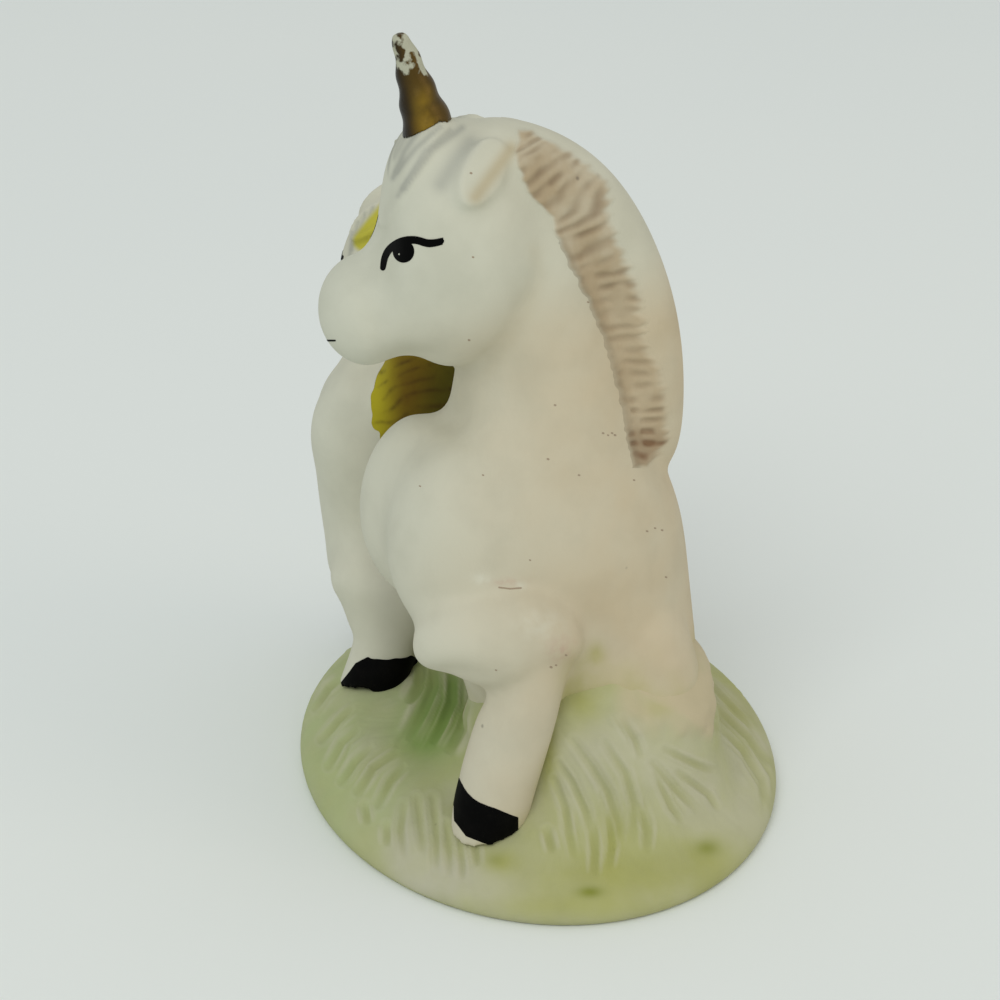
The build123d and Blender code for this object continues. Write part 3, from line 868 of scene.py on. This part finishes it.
# lemon: an even share everywhere, and painted light on the lit side in the throat gap; olive: painted shade
# on its far side
yellow.wash(lemon, yellow.times(yellow.amount("lemon_and_lit_edge"), 0.9))
yellow.wash(shade_olive, yellow.times(yellow.amount("painted_shade_side"), 0.85))
yellow.wash(hair_brown, yellow.uneven("hair_strokes", 330, (0.42, 0.62), (0.0, 0.6)))
tail_beige, tail_brown = (0.50, 0.42, 0.29), (0.33, 0.25, 0.16)
dark = Finish("brown_tail_wash", tail_beige, roughness=0.84, specks=0.8)
dark.wash(tail_brown, dark.uneven("hair_strokes", 210, (0.3, 0.65), (0.1, 0.6)))
yellow_wash, brown_wash = yellow.fire(), dark.fire()
hair_run, hair_pitch, hair_reach, hair_waver = np.array([0.35, 0.94]), 13, 0.00045, 0.00035
throat_gap_top, lit_side, shade_from, even_light = (345, 360), (404, 373), (404, 446), 0.35
for node, body, slot, hair_wash in (
    ("small_mane", small_body, "yellow_washed_bisque", yellow_wash),
    ("small_tail", small_body, "yellow_washed_bisque", yellow_wash),
    ("large_tail", large_body, "brown_washed_bisque", brown_wash),
):
    over_hair = over_node(node, hair_reach, hair_waver, 41.0)
    wash = brushed_coat(node + "_wash", body, over_hair, 1, 0.00003)
    hair = points_of(wash)
    x, y = on_photo(hair).T
    wave = math.tau * (on_photo(hair) @ hair_run) / hair_pitch + 4 * drift(hair, 0.004, 6.0)
    mark(wash, "hair_strokes", (0.5 + 0.5 * np.cos(wave)) ** 3)
    # Where the mane shows in the gap under the larger one's throat: painted light to the left, painted shade
    # to the right
    gap = turned_to_photo(wash) * fade(*throat_gap_top, y) * (hair[:, 2] > 0.03)
    mark(wash, "lemon_and_lit_edge", even_light + gap * (fade(*lit_side, x) - even_light))
    mark(wash, "painted_shade_side", gap * fade(*shade_from, x + 0.25 * (y - 400)))
    wash.data.materials.append(hair_wash)
    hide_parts(node)

# Horns: stubby spiralled cones pressed into the brow and brushed with gold lustre, flaked back to the
# white body near the tip. Its brown and gold shifts across the cone are painted reflections.
burnt_brown, reflected_brown, reflected_gold = (0.011, 0.007, 0.003), (0.085, 0.048, 0.004), (0.27, 0.165, 0.012)
flake_white = (0.45, 0.45, 0.34)
lustre = Finish("worn_gold_lustre_and_reflections", burnt_brown, roughness=0.42, specks=0.0)
# painted reflections: lighter brown and gold over the dark lustre
lustre.wash(reflected_brown, lustre.uneven("brown_reflection_side", 260, (0.30, 0.55), (0.35, 1.0), detail=5.0))
lustre.wash(reflected_gold, lustre.uneven("gold_reflection_patch", 330, (0.35, 0.62), (0.2, 0.95), detail=3.0))
bare = lustre.ranged(lustre.times(lustre.amount("tip_wear"), lustre.texture(560), "ADD"), 0.86, 0.93)
lustre.wash(flake_white, bare)
lustre.links.new(lustre.ranged(bare, 0.0, 1.0, 0.30, 0.0), lustre.shader.inputs["Metallic"])
lustre.links.new(lustre.ranged(bare, 0.0, 1.0, 0.38, 0.8), lustre.shader.inputs["Roughness"])
gold = lustre.fire(grit_height=0.00008)
flake_dabs = (((406, 92), 7, 12, 0.36), ((455, 108), 5, 5, 0.5))
for size_word in ("large", "small"):
    cast_horn = castings(size_word + "_horn")
    horn = cast_form(size_word + "_spiral_horn", cast_horn, grain=0.00020, fillet=0, soften=5)
    cone = points_of(horn)
    pixels = on_photo(cone)
    rise = (cone[:, 2] - cone[:, 2].min()) / np.ptp(cone[:, 2])
    wear = 0.35 * fade(0.50, 0.66, rise) + 0.10 * fade(0.75, 0.95, rise)
    if size_word == "large":
        wear += patches(pixels, flake_dabs)
    middle = np.interp(rise, (0, 1), (pixels[rise < 0.2, 0].mean(), pixels[rise > 0.8, 0].mean()))
    off_middle = pixels[:, 0] - middle
    mark(horn, "tip_wear", wear)
    # painted reflection: brown to the right of the cone's middle, gold low down on it
    mark(horn, "brown_reflection_side", fade(-17, 4, off_middle))
    mark(horn, "gold_reflection_patch", band(off_middle, -9, 13, 15, 26) * fade(0.62, 0.30, rise))
    horn.data.materials.append(gold)
    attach(horn, "root")
    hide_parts(size_word + "_horn")

# Hooves: the forelegs' ends, brushed with black enamel over the fired body. Each is a thin
# coat with the wavering edge of a hand-held brush, short of the heel on the seen side.
enamel_black, enamel_bloom = (0.0015, 0.0015, 0.0014), (0.003, 0.0028, 0.0026)
enamel = Finish("black_brushed_enamel", enamel_black, roughness=0.6, specks=0.0)
enamel.shader.inputs["Specular IOR Level"].default_value = 0.04
enamel.wash(enamel_bloom, enamel.ranged(enamel.texture(500), 0.45, 0.7))
black = enamel.fire(grit_height=0.00003)
near_hoof_top = ((455, 461, 464, 468, 473, 480, 488, 500, 516, 522),
                 (771, 781, 787, 793, 798, 802.5, 806, 810.5, 816.5, 818))
near_hoof_heel = ((770, 781, 800, 821, 836, 843, 848), (459, 458, 453.5, 454.5, 466, 484, 500))
near_hoof_toe = 518
far_hoof_top = ((340, 348, 356, 374, 404, 418), (684, 674, 663, 654, 651, 659))


def hoof_amount(node):
    over_hoof = over_node(node, 0.00060, 0.00022, 31.0)

    def amount(points, out):
        level = over_hoof(points, out)
        x, y = on_photo(points).T
        if node == "large_left_fore_hoof":
            inside = np.minimum(y - np.interp(x, *near_hoof_top), x - np.interp(y, *near_hoof_heel))
            level = np.minimum(level, (near_hoof_toe - x) / pixels_per_metre)
        elif node == "small_left_fore_hoof":
            inside = y - np.interp(x, *far_hoof_top)
        else:
            return level
        waver = 0.00006 * drift(points, 0.0016, 33.0)
        return np.minimum(level, 0.8 * inside / pixels_per_metre + waver)
    return amount


animals = (("large", large_body), ("small", small_body))
for size_word, body in animals:
    for side_word in ("left", "right"):
        node = f"{size_word}_{side_word}_fore_hoof"
        hoof_name = f"{size_word}_{side_word}_hoof_enamel"
        hoof = brushed_coat(hoof_name, body, hoof_amount(node), 1, 0.00007)
        hoof.data.materials.append(black)
        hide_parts(node)

# Eyes and mouths: a lash drawn in one curved stroke of black enamel, a round pupil with a
# speck left bare as a painted glint, and a short dash for the mouth. The smaller head repeats the larger
# one's.
small_scale, heads_turn = 0.87, math.radians(70)
spin = np.array([[math.cos(heads_turn), math.sin(heads_turn), 0],
                 [-math.sin(heads_turn), math.cos(heads_turn), 0], [0, 0, 1]])
lash_line = np.array([(383, 268), (385, 256), (391, 247), (403, 240.5), (416, 239.5), (427, 243.5),
                      (435, 243), (443.5, 240.8)])
for _ in range(2):
    thirds = [(0.75 * a + 0.25 * b, 0.25 * a + 0.75 * b) for a, b in zip(lash_line[:-1], lash_line[1:])]
    lash_line = np.vstack([lash_line[:1], *thirds, lash_line[-1:]])
lash_half_wide = ((0, 0.15, 0.42, 0.60, 0.75, 0.9, 1), (2.6, 3.2, 4.0, 3.8, 3.9, 3.5, 3.2))
lash_end, pupil, pupil_half, pupil_tall = 443.6, (403.7, 251.4), 10.6, 1.06
glint, glint_half = (399.2, 254.2), 1.0
eye_middle, eye_reach = (412, 255), (60, 40)
mouth_line, mouth_half_wide = ((325, 340.5), (335, 340.5)), 0.85


def on_large_head(points, size_word):
    """The same spots carried over to the larger head, which the smaller one repeats."""
    if size_word == "large":
        return points.copy()
    return (points - head_seats["small"]) @ spin / small_scale + head_seats["large"]


def eye_amount(size_word, mirror):
    def amount(points, out):
        seen = on_large_head(points, size_word)
        seen[:, 0] = head_middle + mirror * (seen[:, 0] - head_middle)
        pixels = on_photo(seen)
        x, y = pixels.T
        lash, along = from_stroke(lash_line, pixels)
        wide = np.where(x > lash_end, -1, np.interp(along, *lash_half_wide))
        in_pupil = pupil_half - np.hypot(x - pupil[0], (y - pupil[1]) / pupil_tall)
        # painted highlight: a glint left bare in the pupil
        off_glint = np.hypot(x - glint[0], y - glint[1]) - glint_half
        level = np.maximum(wide - lash, np.minimum(in_pupil, off_glint)) / pixels_per_metre
        near = (np.abs(pixels - eye_middle) < eye_reach).all(axis=1)
        near &= (seen[:, 0] > head_middle + 0.004) & (seen[:, 1] < -0.008)
        return np.where(near, level, well_outside)
    return amount


def mouth_amount(size_word):
    def amount(points, out):
        seen = on_large_head(points, size_word)
        seen[:, 0] = head_middle + np.abs(seen[:, 0] - head_middle)
        away, _ = from_stroke(mouth_line, on_photo(seen))
        muzzle = (seen[:, 1] < -0.020) & (seen[:, 2] > 0.060) & (seen[:, 2] < 0.075)
        muzzle &= seen[:, 0] < head_middle + 0.0075
        return np.where(muzzle, (mouth_half_wide - away) / pixels_per_metre, well_outside)
    return amount


for size_word, body in animals:
    for side_word, mirror in (("left", 1), ("right", -1)):
        eye_name = f"{size_word}_{side_word}_eye_lash"
        eye = brushed_coat(eye_name, body, eye_amount(size_word, mirror), 2, 0.00006)
        eye.data.materials.append(black)
    mouth = brushed_coat(size_word + "_mouth_line", body, mouth_amount(size_word), 2, 0.00004)
    mouth.data.materials.append(black)

# Stray marks: a dash of black enamel beside the smaller one's forelock, and the brown iron
# specks and one hair-fine firing crack that show on the larger body.
lock_dash, lock_dash_half = ((372, 242), (378, 236)), 1.7
iron_dots = (
    (603, 433, 1.1), (608, 435, 0.9), (612, 433, 1.1), (615, 435, 1.2), (548, 459, 1.3), (579, 475, 1.1),
    (483, 475, 0.9), (647, 531, 1.1), (655, 528, 0.9), (662, 530, 1.1), (666, 577, 1.1), (551, 667, 1.4),
    (556, 665, 1.0), (566, 655, 1.1), (469, 340, 1.2), (473, 257, 1.1), (555, 405, 1.2), (471, 173, 1.2),
    (621, 403, 1.2), (588, 302, 1.0), (496, 670, 0.9), (530, 560, 0.9), (420, 486, 0.9), (634, 480, 1.0),
)
crack_line, crack_half = ((499, 587.4), (510, 588.8), (521, 588.0)), 0.8


def dash_amount(dashes, behind):
    def amount(points, out):
        pixels = on_photo(points)
        level = np.full(len(points), well_outside)
        for spots, half in dashes:
            level = np.maximum(level, (half - from_stroke(spots, pixels)[0]) / pixels_per_metre)
        return np.where((points[:, 0] > behind) & (out @ photo_side > 0.30), level, well_outside)
    return amount


lock_amount = dash_amount([(lock_dash, lock_dash_half)], cad_box[0][0])
lock_mark = brushed_coat("small_lock_brush_mark", small_body, lock_amount, 2, 0.00005)
lock_mark.data.materials.append(black)
iron = [(((x - 0.4, y), (x + 0.5, y + 0.3)), 0.78 * half) for x, y, half in iron_dots]
iron.append((crack_line, crack_half))
iron_amount = dash_amount(iron, head_middle)
specks = brushed_coat("iron_specks_and_crack", large_body, iron_amount, 2, 0.00002)
rust_brown = (0.36, 0.285, 0.205)
specks.data.materials.append(Finish("fired_iron_speck", rust_brown, roughness=0.85, specks=0.0).fire())
